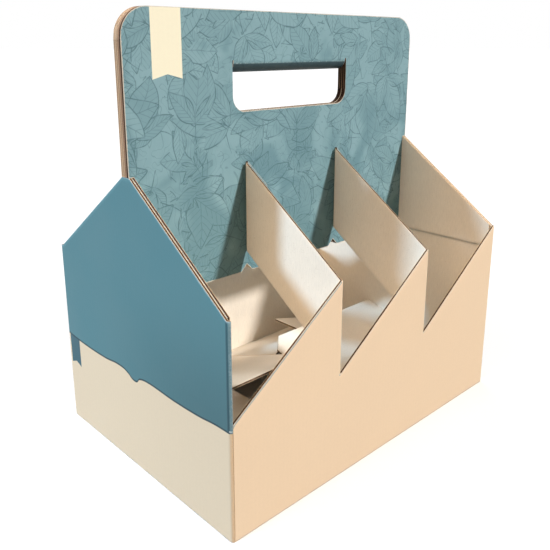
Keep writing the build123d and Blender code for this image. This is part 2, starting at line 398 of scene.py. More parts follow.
def makeEndPrint():
    material, tree, shader, at = startMaterial("endPrint")
    across = times(tree, at["y"], facing(tree, at["x"]))
    above = minus(tree, at["z"], makeBorder(tree, across))
    tag = pennant(tree, across, at["z"], endLook["tagMiddle"], endLook["tagHalf"], endLook["tagLow"],
                  endLook["tagNotch"])
    below = blendColour(tree, tag, endLook["cream"], endLook["tagBlue"])
    inBlue = softStep(tree, above, -endLook["borderSoft"], endLook["borderSoft"])
    field = blendColour(tree, inBlue, below, endLook["blue"])

    # painted shade: the ends darken towards the front and the foot, the blue more than the cream
    forward = softStep(tree, across, endLook["shadeFrom"], -halfWidth)
    downward = softStep(tree, at["z"], endLook["shadeHigh"], endLook["shadeLow"])
    blueShadeMore = endLook["blueShade"] - endLook["creamShade"]
    paintedShade = calc(tree, "MULTIPLY_ADD", inBlue, blueShadeMore, endLook["creamShade"])
    paintedShade = times(tree, paintedShade, times(tree, forward, downward))
    field = scaled(tree, field, minus(tree, 1.0, paintedShade))

    # dark printed line along the border, a dark painted shade line along the fold, and a worn strip past the
    # fold
    line = softStep(tree, apart(tree, above, endLook["lineLift"]), endLook["lineHalf"], endLook["lineCore"])
    offFold = apart(tree, across, -endLook["foldAt"])
    fold = times(tree, softStep(tree, offFold, endLook["foldHalf"], endLook["foldShadeCore"]), inBlue)
    fold = times(tree, fold, endLook["foldShadeDepth"])
    dark = calc(tree, "MAXIMUM", times(tree, line, endLook["lineDepth"]), fold)
    field = blendColour(tree, dark, field, endLook["borderInkFoldShade"])
    strip = softStep(tree, across, -endLook["stripFrom"], -endLook["stripFrom"] - endLook["stripSoft"])
    stripColour = blendColour(tree, inBlue, endLook["stripTan"], endLook["stripInk"])
    field = blendColour(tree, times(tree, strip, endLook["stripDepth"]), field, stripColour)

    # small tear at the foot of the blue
    ragged = noise(tree, at["place"], endLook["tornScale"], endLook["tornDetail"])[0]
    wander = times(tree, minus(tree, ragged, noiseMiddle), endLook["tornWander"])
    offTear = calc(tree, "ADD", apart(tree, at["z"], endLook["tornHeight"]), wander)
    torn = softStep(tree, offTear, endLook["tornReach"], endLook["tornReach"] - endLook["tornSoft"])
    pastFold = softStep(tree, across, -endLook["tornFrom"], -endLook["tornFrom"] - endLook["stripSoft"])
    field = blendColour(tree, times(tree, torn, pastFold), field, endLook["tornWhite"])
    bare = blendColour(tree, inBlue, endLook["creamBare"], endLook["blueBare"])
    look = {**printLook, "bare": bare, "wear": endLook["wear"], "wearWidth": endLook["wearWidth"]}
    finishPrint(tree, shader, at, field, look)
    return material


# long walls: peach, with the blue of the dividers bleeding over the sawtooth cuts
longLook = dict(peach=paint(243, 215, 181), bleed=paint(150, 160, 160), bleedFrom=56.0, bleedWidth=0.9,
                bleedTo=-36.0, bleedElsewhere=0.25, bleedSoft=0.2, heightSoft=0.4, placeSoft=0.5,
                wanderScale=60.0, wanderDetail=1.0, wear=0.45)


def makeLongPrint():
    material, tree, shader, at = startMaterial("longPrint")
    wander = noise(tree, at["place"], longLook["wanderScale"], longLook["wanderDetail"])[0]
    width = times(tree, calc(tree, "ADD", wander, noiseMiddle), longLook["bleedWidth"])
    over = softStep(tree, minus(tree, at["near"], width), longLook["bleedSoft"], -longLook["bleedSoft"])
    start, soft = longLook["bleedFrom"], longLook["heightSoft"]
    high = softStep(tree, at["z"], start - soft, start + soft)
    across = times(tree, at["x"], facing(tree, at["y"]))
    end, soft = longLook["bleedTo"], longLook["placeSoft"]
    share = softStep(tree, across, end + soft, end - soft, longLook["bleedElsewhere"], 1.0)
    over = times(tree, times(tree, over, high), share)
    field = blendColour(tree, over, longLook["peach"], longLook["bleed"])
    finishPrint(tree, shader, at, field, {**printLook, "wear": longLook["wear"]})
    return material


# dividers: blue, with the wall's peach carried round the fold
dividerLook = dict(blue=paint(96, 156, 186), foldCover=5.0, foldSoft=0.2)


def makeDividerPrint():
    material, tree, shader, at = startMaterial("dividerPrint")
    fromWall = minus(tree, halfWidth, calc(tree, "ABSOLUTE", at["y"]))
    cover, soft = dividerLook["foldCover"], dividerLook["foldSoft"]
    inside = softStep(tree, fromWall, cover - soft, cover + soft)
    field = blendColour(tree, inside, longLook["peach"], dividerLook["blue"])
    finishPrint(tree, shader, at, field, printLook)
    return material


# underside of the bottom flaps: bare liner, the wall's ink reaching just past the fold
flapLook = dict(bare=paint(206, 182, 148), ink=paint(234, 212, 184), inkReach=3.0, inkSoft=0.15, cloud=0.1)


def makeFlapPrint():
    material, tree, shader, at = startMaterial("flapPrint")
    fromEnd = minus(tree, innerX, calc(tree, "ABSOLUTE", at["x"]))
    fromSide = minus(tree, innerY, calc(tree, "ABSOLUTE", at["y"]))
    reach, soft = flapLook["inkReach"], flapLook["inkSoft"]
    inked = softStep(tree, calc(tree, "MINIMUM", fromEnd, fromSide), reach + soft, reach - soft)
    field = blendColour(tree, inked, flapLook["bare"], flapLook["ink"])
    finishPrint(tree, shader, at, field, {**printLook, "cloud": flapLook["cloud"]})
    return material


# handle: teal with sprigs drawn in a thin dark line, and a plain cream ribbon at one end
handleLook = dict(
    teal=paint(137, 171, 177), deep=paint(110, 146, 153), ink=paint(78, 112, 118),
    washScale=0.028, washDetail=3.0, washWarp=0.8, washMiddle=165.0, washSpan=450.0, washFrom=0.42,
    washTo=0.66, stemScale=0.045, stemDetail=2.0, stemWarp=1.1, stemCount=9.0, stemWidth=0.06,
    stemCore=0.01, stemDepth=0.4, leafShade=0.55, inkDepth=0.8,
    layers=[(38.0, 29.35, 0.4), (34.0, 0.31, 0.4), (46.0, 5.62, 0.42), (40.0, 11.27, 0.42),
            (58.0, 17.45, 0.45), (50.0, 23.8, 0.45)],  # cell, seed and pen width
    ribbon=paint(255, 246, 216), ribbonMiddle=-81.6, ribbonHalf=8.3, ribbonFoot=196.2, ribbonNotch=2.2,
    foldTop=202.4, foldFoot=186.0, foldHalf=43.0, foldSoft=0.5, rolledShadeColour=paint(38, 58, 64), foldShadeDepth=0.9,
    raggedScale=0.9, raggedDetail=3.0,
    crack=paint(150, 178, 180), crackHalf=0.45, crackCore=0.1, crackFrom=0.48, crackTo=0.6)


def makeHandlePrint():
    material, tree, shader, at = startMaterial("handlePrint")
    look = handleLook
    across = times(tree, at["x"], facing(tree, at["y"]))
    flat = put(tree, "CombineXYZ", {0: across, 1: at["z"]}).outputs[0]
    wash = noise(tree, flat, look["washScale"], look["washDetail"], look["washWarp"])[0]
    lower = calc(tree, "DIVIDE", minus(tree, look["washMiddle"], at["z"]), look["washSpan"])
    washed = softStep(tree, calc(tree, "ADD", wash, lower), look["washFrom"], look["washTo"])
    ground = blendColour(tree, washed, look["teal"], look["deep"])

    # drifting stems, then layers of sprigs over them
    drift = noise(tree, flat, look["stemScale"], look["stemDetail"], look["stemWarp"])[0]
    drift = calc(tree, "FRACT", times(tree, drift, look["stemCount"]))
    stem = softStep(tree, apart(tree, drift, 0.5), look["stemWidth"], look["stemCore"])
    field = blendColour(tree, times(tree, stem, look["stemDepth"]), ground, look["ink"])
    for cell, seed, pen in look["layers"]:
        layer = useGroup(tree, sprigGroup, dict(Place=flat, Cell=cell, Seed=seed, Line=pen))
        leaf = blendColour(tree, times(tree, layer["Tone"], look["leafShade"]), ground, look["deep"])
        field = blendColour(tree, layer["Leaf"], field, leaf)
        field = blendColour(tree, times(tree, layer["Line"], look["inkDepth"]), field, look["ink"])
    ribbon = pennant(tree, across, at["z"], look["ribbonMiddle"], look["ribbonHalf"], look["ribbonFoot"],
                     look["ribbonNotch"])
    field = blendColour(tree, ribbon, field, look["ribbon"])

    # painted shade darkens the flap of the hand hole where it rolls back under, and its upper edge is worn
    # and cracked
    onFlap = times(tree, calc(tree, "LESS_THAN", calc(tree, "ABSOLUTE", across), look["foldHalf"]),
                   calc(tree, "GREATER_THAN", at["z"], look["foldFoot"]))
    ragged = noise(tree, flat, look["raggedScale"], look["raggedDetail"])[0]
    underFold = calc(tree, "ADD", minus(tree, look["foldTop"], at["z"]), minus(tree, ragged, noiseMiddle))
    rolledShade = times(tree, softStep(tree, underFold, -look["foldSoft"], look["foldSoft"]), onFlap)
    field = blendColour(tree, times(tree, rolledShade, look["foldShadeDepth"]), field, look["rolledShadeColour"])
    cracked = softStep(tree, calc(tree, "ABSOLUTE", underFold), look["crackHalf"], look["crackCore"])
    broken = softStep(tree, ragged, look["crackFrom"], look["crackTo"])
    field = blendColour(tree, times(tree, times(tree, cracked, onFlap), broken), field, look["crack"])
    finishPrint(tree, shader, at, field, printLook)
    return material


# bare kraft: inner liner, flutes and cut edges
kraftGloss = 0.2
kraftLook = dict(
    kraftInside=dict(colour=paint(232, 221, 205), fleck=paint(176, 150, 118), amount=0.25, bump=0.00003),
    # flute medium: the medium's own darker kraft, deepened as painted shade inside the flutes
    fluteMedium=dict(colour=paint(112, 82, 56), fleck=paint(84, 60, 40), amount=0.4, bump=0.00003),
    # dark core: painted shade of the open flutes in a cut edge
    edgeCore=dict(colour=paint(58, 40, 32), fleck=paint(120, 88, 64), amount=0.4, bump=0.00005),
    plyCore=dict(colour=paint(206, 172, 138), fleck=paint(150, 116, 84), amount=0.4, bump=0.00005),
    # second ply of a cut handle edge, darkened as painted shade
    plyShade=dict(colour=paint(174, 140, 112), fleck=paint(116, 86, 62), amount=0.4, bump=0.00005),
    # sill of the hand hole, lightened as a painted highlight where it faces up
    holeSill=dict(colour=paint(252, 238, 214), fleck=paint(150, 116, 84), amount=0.4, bump=0.00005),
    cutEdge=dict(colour=paint(220, 192, 156), fleck=paint(140, 104, 70), amount=0.4, bump=0.00005),
)


def makeKraft(name):
    look = kraftLook[name]
    material, tree, shader, at = startMaterial(name)
    fibre = useGroup(tree, kraftGroup, dict(Colour=look["colour"], Fleck=look["fleck"], Place=at["place"],
                                            Amount=look["amount"]))
    tree.links.new(fibre["Colour"], shader.inputs["Base Color"])
    tree.links.new(fibre["Roughness"], shader.inputs["Roughness"])
    shader.inputs["Specular IOR Level"].default_value = kraftGloss
    bumpInto(tree, shader, fibre["Height"], look["bump"])
    return material


finishes = {name: makeKraft(name) for name in kraftLook}
finishes.update(endPrint=makeEndPrint(), longPrint=makeLongPrint(), dividerPrint=makeDividerPrint(),
                flapPrint=makeFlapPrint(), handlePrint=makeHandlePrint())
print("materials made:", sorted(finishes))


def newSheet(*finishNames):
    return dict(points=[], runs=[], nears=[], faces=[], tags=[], finishNames=list(finishNames))


hairline = 1e-9  # lets a distance lie on the joint of two stretches


# a plan line with rounded corners; runAt gives the point and the direction at a distance along it
def roundedRun(points, radii):
    corners = [Vector(point) for point in points]
    pieces, here = [], corners[0]
    for place in range(1, len(corners) - 1):
        before = (corners[place] - corners[place - 1]).normalized()
        after = (corners[place + 1] - corners[place]).normalized()
        turn = atan2(before.x * after.y - before.y * after.x, before.dot(after))
        trim = abs(radii[place - 1] * tan(turn / 2))
        start = corners[place] - before * trim
        pieces.append(("line", here, before, (start - here).length))
        side = 1 if turn > 0 else -1
        centre = start + Vector((-before.y, before.x)) * side * radii[place - 1]
        pieces.append(("arc", centre, start - centre, before, turn, radii[place - 1] * abs(turn)))
        here = corners[place] + after * trim
    last = corners[-1] - here
    pieces.append(("line", here, last.normalized(), last.length))
    marks = [0.0]
    for piece in pieces:
        marks.append(marks[-1] + piece[-1])
    return pieces, marks


def swing(vector, angle):
    turnedX = vector.x * cos(angle) - vector.y * sin(angle)
    turnedY = vector.x * sin(angle) + vector.y * cos(angle)
    return Vector((turnedX, turnedY))


def runAt(run, distance):
    pieces, marks = run
    index = 0
    while index < len(pieces) - 1 and distance > marks[index + 1] + hairline:
        index += 1
    piece, past = pieces[index], distance - marks[index]
    if piece[0] == "line":
        return piece[1] + piece[2] * past, piece[2]
    angle = piece[4] * past / piece[5]
    return piece[1] + swing(piece[2], angle), swing(piece[3], angle)


# place(u, v, n): u across the flutes, v along them, n from the printed side to the inner side
def upright(run, printOnRight=True):
    side = 1 if printOnRight else -1
    def place(u, v, n):
        point, ahead = runAt(run, u)
        return point.x - ahead.y * side * n, point.y + ahead.x * side * n, v
    return place


def straight(startX, y, inward=1):
    def place(u, v, n):
        return startX + u, y + inward * n, v
    return place


def halfTurn(place):
    def turned(u, v, n):
        x, y, z = place(u, v, n)
        return -x, -y, z
    return turned


def mirrorX(place):
    def mirrored(u, v, n):
        x, y, z = place(u, v, n)
        return -x, y, z
    return mirrored


def columnsOf(first, last, extra):
    step = board["pitch"] / board["samples"]
    steps = range(int(first / step) + 1, int(last / step) + 1)
    inner = [number * step for number in steps] + [u for u in extra if first < u < last]
    inner = sorted(u for u in inner if first + board["endClear"] < u < last - board["endClear"])
    kept = [first]
    for u in inner:
        if u - kept[-1] > board["columnClear"]:
            kept.append(u)
    return kept + [last]


# how far a ring's point lies off the line between its neighbours, in place and in distance to the edge
def offLine(before, here, after):
    span = after[1] - before[1]
    if not span:
        return board["farEdge"]
    share = (here[1] - before[1]) / span
    trios = zip((*before[0], before[2]), (*here[0], here[2]), (*after[0], after[2]))
    return max(abs(middle - start - (end - start) * share) for start, middle, end in trios)


# rings where the board bends or its edge turns, with the ring on either side; flat stretches need no others
def neededRings(rings):
    kept = {0, 1, len(rings) - 2, len(rings) - 1}
    for index in range(1, len(rings) - 1):
        trios = zip(rings[index - 1], rings[index], rings[index + 1])
        if any(offLine(*trio) > board["flatWithin"] for trio in trios):
            kept.update((index - 1, index, index + 1))
    return [rings[index] for index in sorted(kept)]


def loft(sheet, rings, tags, endTag):
    rings = neededRings(rings)
    start, size = len(sheet["points"]), len(rings[0])
    for ring in rings:
        for point, run, near in ring:
            sheet["points"].append([value * mm for value in point])
            sheet["runs"].append(run)
            sheet["nears"].append(near)
    for column in range(len(rings) - 1):
        low, high = start + column * size, start + (column + 1) * size
        for spot in range(size):
            after = (spot + 1) % size
            sheet["faces"].append((low + spot, low + after, high + after, high + spot))
            sheet["tags"].append(tags[spot])
    for low in (start, start + (len(rings) - 1) * size):
        sheet["faces"].append(tuple(range(low, low + size)))
        sheet["tags"].append(endTag)


# one span of board between two columns: printed liner, wave and inner liner, each a closed loft
def layBoard(sheet, place, first, last, low, high, outer, core="edgeCore", rim="cutEdge", backRim="cutEdge",
             pinch=board["pinch"], cutStart=False, cutEnd=False, foot=False, lowCut=True, extra=(), breaks=(),
             creases=()):
    thick, liner, lip, far = board["thick"], board["liner"], board["lip"], board["farEdge"]
    half = board["medium"] / 2
    lowAt = low if callable(low) else (lambda u: low)
    highAt = high if callable(high) else (lambda u: high)
    lowCut = lowCut and not foot
    printed, wave, backed, topCore, lowCore = [], [], [], [], []
    for u in columnsOf(first, last, extra):
        bottom = lowAt(u)
        top = max(highAt(u), bottom + board["leastTall"])
        tall = top - bottom
        small, wide = min(lip, tall * board["lipShare"]), min(board["band"], tall * board["bandShare"])
        rows = [bottom, bottom + small, bottom + wide, top - wide, top - small, top]
        rows = sorted(set(rows + list(breaks)))
        side = min([u - first] * cutStart + [last - u] * cutEnd + [far])
        folded = min([abs(u - crease) + board["creaseWear"] for crease in creases] + [far])

        # the board is pinched towards its cut edges
        def ringPoint(v, n):
            toCut = min([side, top - v] + [v - bottom] * lowCut)
            squeeze = pinch * max(0, 1 - toCut / lip) * (1 - 2 * n / thick)
            return place(u, v, n + squeeze), u, min(toCut, folded)

        # crushed flutes just inside a cut edge that runs across them; with the dark core finish they are
        # painted shade of the open flutes
        def corePoints(edge, into):
            shallow = min(board["coreFrom"], tall * board["lipShare"])
            deep = min(board["coreTo"], tall * board["coreShare"])
            near, back = board["coreInset"], thick - board["coreInset"]
            corners = [(deep, near), (shallow, near), (shallow, back), (deep, back)]
            return [ringPoint(edge + into * v, n) for v, n in corners]
        middle = thick / 2 + (thick / 2 - liner - half) * sin(2 * pi * u / board["pitch"])
        waveLow = liner if foot else bottom
        if foot:
            rounding = board["rimRound"]
            shaved = rounding * board["roundShare"]
            under = [(0, thick), (0, rounding), (shaved, shaved)]
            rows[0] = rounding
            front = [ringPoint(v, n) for v, n in under] + [ringPoint(v, 0) for v in rows]
            printed.append(front + [ringPoint(top, liner), ringPoint(liner, liner), ringPoint(liner, thick)])
        else:
            printed.append([ringPoint(v, 0) for v in rows] + [ringPoint(v, liner) for v in rows[::-1]])
        inside = sorted({waveLow, waveLow + small, *breaks, top - small, top})
        waveFront = [ringPoint(v, middle - half) for v in inside]
        wave.append(waveFront + [ringPoint(v, middle + half) for v in inside[::-1]])
        backFront = [ringPoint(v, thick) for v in [waveLow] + rows[1:]]
        backed.append(backFront + [ringPoint(v, thick - liner) for v in inside[::-1]])
        topCore.append(corePoints(top, -1))
        lowCore.append(corePoints(bottom, 1))
    rowCount, insideCount = len(rows) - 1, len(inside) - 1
    if foot:
        printTags = [outer] * (len(under) + rowCount) + [rim, "fluteMedium", "fluteMedium", outer]
    else:
        printTags = [outer] * rowCount + [rim] + ["fluteMedium"] * rowCount + [rim]
    backTags = ["kraftInside"] * rowCount + [backRim] + ["fluteMedium"] * insideCount + [backRim]
    for cut, edge, into in ((cutStart, first, 1), (cutEnd, last, -1)):
        if cut:
            sideLow = max(lowAt(edge), liner if foot else 0)
            fillSide(sheet, place, edge, into, sideLow, highAt(edge), core, breaks)
    loft(sheet, printed, printTags, rim)
    loft(sheet, wave, ["fluteMedium"] * len(wave[0]), "fluteMedium")
    loft(sheet, backed, backTags, backRim)
    loft(sheet, topCore, [core] * len(topCore[0]), core)
    if lowCut:
        loft(sheet, lowCore, [core] * len(lowCore[0]), core)


# crushed flutes just inside an edge that runs along them; with the dark core finish they are painted shade of
# the open flutes
def fillSide(sheet, place, edge, into, low, high, core, breaks=()):
    rows = [low] + list(breaks) + [high]
    near, back = board["coreInset"], board["thick"] - board["coreInset"]
    ring = [(v, near) for v in rows] + [(v, back) for v in rows[::-1]]
    depths = (edge + into * board["crush"], edge + into * board["crushDepth"])
    rings = [[(place(u, v, n), u, 0.0) for v, n in ring] for u in depths]
    loft(sheet, rings, [core] * len(ring), core)


def finishSheet(sheet, name, node):
    mesh = bpy.data.meshes.new(name)
    mesh.from_pydata(sheet["points"], [], sheet["faces"])
    for finish in sheet["finishNames"]:
        mesh.materials.append(finishes[finish])
    mesh.polygons.foreach_set("material_index", [sheet["finishNames"].index(tag) for tag in sheet["tags"]])
    for label, values in (("fluteRun", sheet["runs"]), ("edgeNear", sheet["nears"])):
        mesh.attributes.new(label, "FLOAT", "POINT").data.foreach_set("value", values)
    form = bmesh.new()
    form.from_mesh(mesh)
    bmesh.ops.recalc_face_normals(form, faces=form.faces)
    form.to_mesh(mesh)
    form.free()
    mesh.polygons.foreach_set("use_smooth", [True] * len(mesh.polygons))
    mesh.set_sharp_from_angle(angle=radians(board["sharpAngle"]))
    piece = bpy.data.objects.new(name, mesh)
    scene.collection.objects.link(piece)
    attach(piece, "root")
    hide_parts(node)
    print(name, "has", sum(len(face) - 2 for face in sheet["faces"]), "triangles")


# outer carrier: walls with sawtooth tops, pentagon ends, dividers, seam flap and tented bottom
carrier = dict(cells=3, notch=57.0, rise=48.0, climb=48.0, handleHalf=3.0,
               seamWidth=18.0, seamFrom=6.0, seamTo=91.0, seamSlant=6.0,
               tabWidth=14.0, tabDrop=15.0, tabLift=5.0, tabBend=0.25, frontLift=17.5, rearLift=21.5,
               hookOverlap=25.5, hookChamfer=10.0, shortSetback=5.0, cornerSetback=10.0, middleGap=1.5,
               endReach=62.0, endTipSetback=12.0, endHingeSetback=2.0, glueStart=14.0)
cellPitch = 2 * halfLength / carrier["cells"]
eave = carrier["notch"] + carrier["rise"]
shoulder = eave + carrier["climb"]
slopeStart = halfWidth - board["bend"]
roofSlope = carrier["climb"] / (slopeStart - carrier["handleHalf"])
folds = [cellPitch * place - halfLength for place in range(1, carrier["cells"])]


def roofHeight(y):
    return min(eave + max(slopeStart - abs(y), 0) * roofSlope, shoulder)


def toothHeight(x, lowEnd):
    return min(carrier["notch"] + (x - lowEnd) * carrier["rise"] / (cellPitch - board["bend"]), eave)


# long wall with the teeth, written for the front; the rear is the same turned half round
def layLongWall(sheet, turn, closesSeam):
    bend = board["bend"]
    farX = innerX if closesSeam else halfLength
    farY = carrier["seamWidth"] - innerY if closesSeam else bend - halfWidth
    start, corner = (-halfLength, bend - halfWidth), (-halfLength, -halfWidth)
    run = roundedRun([start, corner, (farX, -halfWidth), (farX, farY)], [bend, bend])
    place = turn(upright(run))
    marks = run[1]
    cornerEnd, wallEnd, bendEnd = marks[2], marks[3], marks[4]
    toU = cornerEnd + halfLength - bend

    def along(u):
        return runAt(run, u)[0]
    postEnd = cornerEnd * acos(board["bendInside"] / bend) / (pi / 2)
    corners = [cornerEnd / 2]
    layBoard(sheet, place, 0, postEnd, 0, lambda u: roofHeight(along(u).y), "endPrint", cutEnd=True,
             foot=True, creases=corners)
    starts = [-halfLength] + folds
    for lowEnd in starts:
        first = postEnd if lowEnd == starts[0] else lowEnd + toU
        last = wallEnd if lowEnd == starts[-1] else lowEnd + cellPitch - bend + toU
        layBoard(sheet, place, first, last, 0, lambda u: toothHeight(along(u).x, lowEnd), "longPrint",
                 foot=True, creases=corners + [lowEnd + cellPitch + toU])
        if lowEnd != starts[-1]:
            layBoard(sheet, place, last, last + bend, 0, carrier["notch"], "longPrint", foot=True)

    def cornerTop(u):
        return min(toothHeight(along(u).x, starts[-1]), roofHeight(along(u).y))
    if not closesSeam:
        layBoard(sheet, place, wallEnd, bendEnd, 0, cornerTop, "longPrint", foot=True)
        return
    seamLow, seamHigh, slant = carrier["seamFrom"], carrier["seamTo"], carrier["seamSlant"]
    layBoard(sheet, place, wallEnd, bendEnd, seamLow, seamHigh, "longPrint")

    def seamIn(u):
        return slant * (u - bendEnd) / (marks[5] - bendEnd)
    layBoard(sheet, place, bendEnd, marks[5], lambda u: seamLow + seamIn(u), lambda u: seamHigh - seamIn(u),
             "longPrint", cutEnd=True)
    butt = turn(straight(farX - bend, -halfWidth))
    layBoard(sheet, butt, 0, bend, 0, seamLow, "longPrint", cutEnd=True, foot=True)
    layBoard(sheet, butt, 0, bend, seamHigh, lambda u: toothHeight(farX - bend + u, starts[-1]), "longPrint",
             cutEnd=True)


# pentagon end, written for the right side
def layEnd(sheet, turn, cutAtFront, core):
    firstY = -halfWidth if cutAtFront else board["bend"] - halfWidth
    lastY = halfWidth - board["bend"]
    run = roundedRun([(halfLength, firstY), (halfLength, lastY)], [])
    place = turn(upright(run))
    peak = carrier["handleHalf"]
    for low, high in ((firstY, -peak), (-peak, peak), (peak, lastY)):
        layBoard(sheet, place, low - firstY, high - firstY, 0, lambda u: roofHeight(firstY + u), "endPrint",
                 foot=True, core=core, cutStart=cutAtFront and low == firstY)


# strip cut out of a notch, folded in and up to the handle, ending in its glue tab
def layDivider(sheet, turn, fold):
    bend, tabY = board["bend"], -carrier["handleHalf"] - board["thick"]
    tabEnd = (fold + carrier["tabWidth"], tabY)
    corners = [(fold - bend, -halfWidth), (fold, -halfWidth), (fold, tabY), tabEnd]
    run = roundedRun(corners, [bend, carrier["tabBend"]])
    place = turn(upright(run))
    marks = run[1]

    def along(u):
        return runAt(run, u)[0]

    def climbed(u):
        return min(max(along(u).y + slopeStart, 0) * roofSlope, carrier["climb"])
    layBoard(sheet, place, 0, marks[4], lambda u: carrier["notch"] + climbed(u), lambda u: eave + climbed(u),
             "dividerPrint", extra=marks[1:4])

    def out(u):
        return max(along(u).x - fold, 0) / carrier["tabWidth"]
    # the tab's cut edges take the darkened medium: painted shade
    layBoard(sheet, place, marks[4], marks[5], lambda u: eave + carrier["tabLift"] * out(u),
             lambda u: shoulder - carrier["tabDrop"] * out(u), "handlePrint", rim="fluteMedium",
             backRim="fluteMedium", cutEnd=True)


# long bottom flap and the end flap glued under it, sprung up into a tent
def layBottom(sheet, turn, lift):
    level, rise, thick = cos(radians(lift)), sin(radians(lift)), board["thick"]

    def longPlace(u, v, n):
        return u, -innerY + v * level - n * rise, v * rise + n * level

    def endPlace(u, v, n):
        return innerX - v * level + n * rise, u, v * rise + n * level

    def gluedPlace(u, v, n):
        return longPlace(u, v, n - thick)
    gap, chamfer = carrier["middleGap"], carrier["hookChamfer"]
    longReach, shortReach = innerY + carrier["hookOverlap"], innerY - carrier["shortSetback"]
    shortFrom = carrier["cornerSetback"] - innerX
    longFlap, endFlap = turn(longPlace), turn(endPlace)
    layBoard(sheet, longFlap, shortFrom, gap, 0, lambda u: shortReach * (u - shortFrom) / (gap - shortFrom),
             "flapPrint")
    layBoard(sheet, longFlap, gap, gap + chamfer, 0, lambda u: longReach - chamfer + u - gap, "flapPrint",
             cutStart=True)
    layBoard(sheet, longFlap, gap + chamfer, innerX, 0, longReach, "flapPrint", cutEnd=True)
    reach = carrier["endReach"]
    corner = reach * level - innerY
    tip, hinge = innerY - carrier["endTipSetback"], innerY - carrier["endHingeSetback"]
    layBoard(sheet, endFlap, -innerY, corner, 0, lambda u: (u + innerY) / level, "flapPrint")
    layBoard(sheet, endFlap, corner, tip, 0, reach, "flapPrint")
    layBoard(sheet, endFlap, tip, hinge, 0, lambda u: reach * (hinge - u) / (hinge - tip), "flapPrint")
    start = carrier["glueStart"]
    layBoard(sheet, turn(gluedPlace), innerX - reach * level, innerX - start, start / level,
             lambda u: (innerX - u) / level, "flapPrint", cutStart=True)


def asDrawn(place):
    return place


carrierSheet = newSheet("endPrint", "longPrint", "dividerPrint", "flapPrint", "handlePrint", "kraftInside",
                        "fluteMedium", "edgeCore", "cutEdge")
layLongWall(carrierSheet, asDrawn, closesSeam=False)
layLongWall(carrierSheet, halfTurn, closesSeam=True)
# the left end's cut edges carry the dark core as painted shade; the right end's carry the plain cut edge
layEnd(carrierSheet, asDrawn, cutAtFront=False, core="cutEdge")
layEnd(carrierSheet, halfTurn, cutAtFront=True, core="edgeCore")
for fold in folds:
    layDivider(carrierSheet, asDrawn, fold)
    layDivider(carrierSheet, halfTurn, fold)
layBottom(carrierSheet, asDrawn, carrier["frontLift"])
layBottom(carrierSheet, halfTurn, carrier["rearLift"])
finishSheet(carrierSheet, "outerCarrierBoard", "outer_carrier")


# handle panels: two plies each, shouldered over the ends, with flanges glued inside them
handle = dict(bottom=92.0, corner=14.0, reliefWidth=8.0, reliefDepth=4.0, holeWidth=86.0, holeHeight=25.5,
              grip=24.0, holeCorner=8.0, droop=3.0, flapSideGap=0.6, flapBend=6.0, flangeSetback=2.5,
              closedGap=1.0, cornerSteps=12, rollSteps=9)
holeTop = handleTop - handle["grip"]
holeFoot = holeTop - handle["holeHeight"]
holeHalf = handle["holeWidth"] / 2


# extra columns over the rounded corners at both ends of a span
def arcColumns(half, radius):
    steps = handle["cornerSteps"]
    insets = [radius * (1 - cos(pi / 2 * number / steps)) for number in range(1, steps)]
    return [inset - half for inset in insets] + [half - inset for inset in insets]


def arcRise(inset, radius):
    inset = min(max(inset, 0), radius)
    return sqrt(radius ** 2 - (radius - inset) ** 2)


def panelTop(x):
    radius = handle["corner"]
    return handleTop - radius + arcRise(halfLength - abs(x), radius)


def panelFoot(x):
    nearest = min(abs(x - fold) for fold in folds)
    return handle["bottom"] + handle["reliefDepth"] * max(0, 1 - nearest / (handle["reliefWidth"] / 2))


def holeEdge(x):
    radius = handle["holeCorner"]
    return holeFoot + radius - arcRise(holeHalf - abs(x), radius)


def layPly(sheet, place, lowerEnd, core, rim, hinged=False):
    middle, radius = halfLength, handle["holeCorner"]
    extra = [x + middle for x in arcColumns(halfLength, handle["corner"])]
    holeExtra = [x + middle for x in arcColumns(holeHalf, radius)]
    reliefs = [fold + side * handle["reliefWidth"] / 2 + middle for fold in folds for side in (-1, 0, 1)]
    shared = dict(outer="handlePrint", core=core, rim=rim, backRim=core, pinch=0)

    def topAt(u):
        return panelTop(u - middle)

    def footAt(u):
        return panelFoot(u - middle)
    lowLeft, lowRight = middle - lowerEnd, middle + lowerEnd
    holeLeft, holeRight = middle - holeHalf, middle + holeHalf
    layBoard(sheet, place, 0, lowLeft, shoulder, topAt, cutStart=True, extra=extra, **shared)
    layBoard(sheet, place, lowRight, 2 * middle, shoulder, topAt, cutEnd=True, extra=extra, **shared)
    layBoard(sheet, place, lowLeft, holeLeft, footAt, topAt, extra=extra + reliefs, **shared)
    layBoard(sheet, place, holeRight, lowRight, footAt, topAt, extra=extra + reliefs, **shared)
    sillLeft, sillRight = holeLeft + radius, holeRight - radius
    # the sill between the hole's corners is lightened as a painted highlight; the corners carry the dark core
    # as painted shade
    sills = ((holeLeft, sillLeft, "edgeCore"), (sillLeft, sillRight, "holeSill"),
             (sillRight, holeRight, "edgeCore"))
    for first, last, sillCore in sills:
        sillLook = {**shared, "core": sillCore, "rim": "holeSill", "backRim": "edgeCore"}
        layBoard(sheet, place, first, last, footAt, lambda u: holeEdge(u - middle), extra=holeExtra + reliefs,
                 **sillLook)
    layBoard(sheet, place, holeLeft, holeRight, holeTop, handleTop, lowCut=not hinged, **shared)
    for side in (-1, 1):
        fillSide(sheet, place, middle + side * holeHalf, side, holeFoot + radius, holeTop, "edgeCore")


def layFlange(sheet, flip, outerY, core):
    bend = board["bend"]
    run = roundedRun([(-innerX, outerY), (-innerX, 0), (bend - innerX, 0)], [bend])
    place = flip(upright(run, printOnRight=False))
    marks = run[1]
    slopeEnd = -carrier["handleHalf"] - outerY
    layBoard(sheet, place, 0, slopeEnd, handle["bottom"], lambda u: roofHeight(outerY + u), "handlePrint",
             rim=core, core=core, cutStart=True)
    layBoard(sheet, place, slopeEnd, marks[1], handle["bottom"], shoulder, "handlePrint")
    layBoard(sheet, place, marks[1], marks[2], handle["bottom"], shoulder, "handlePrint")


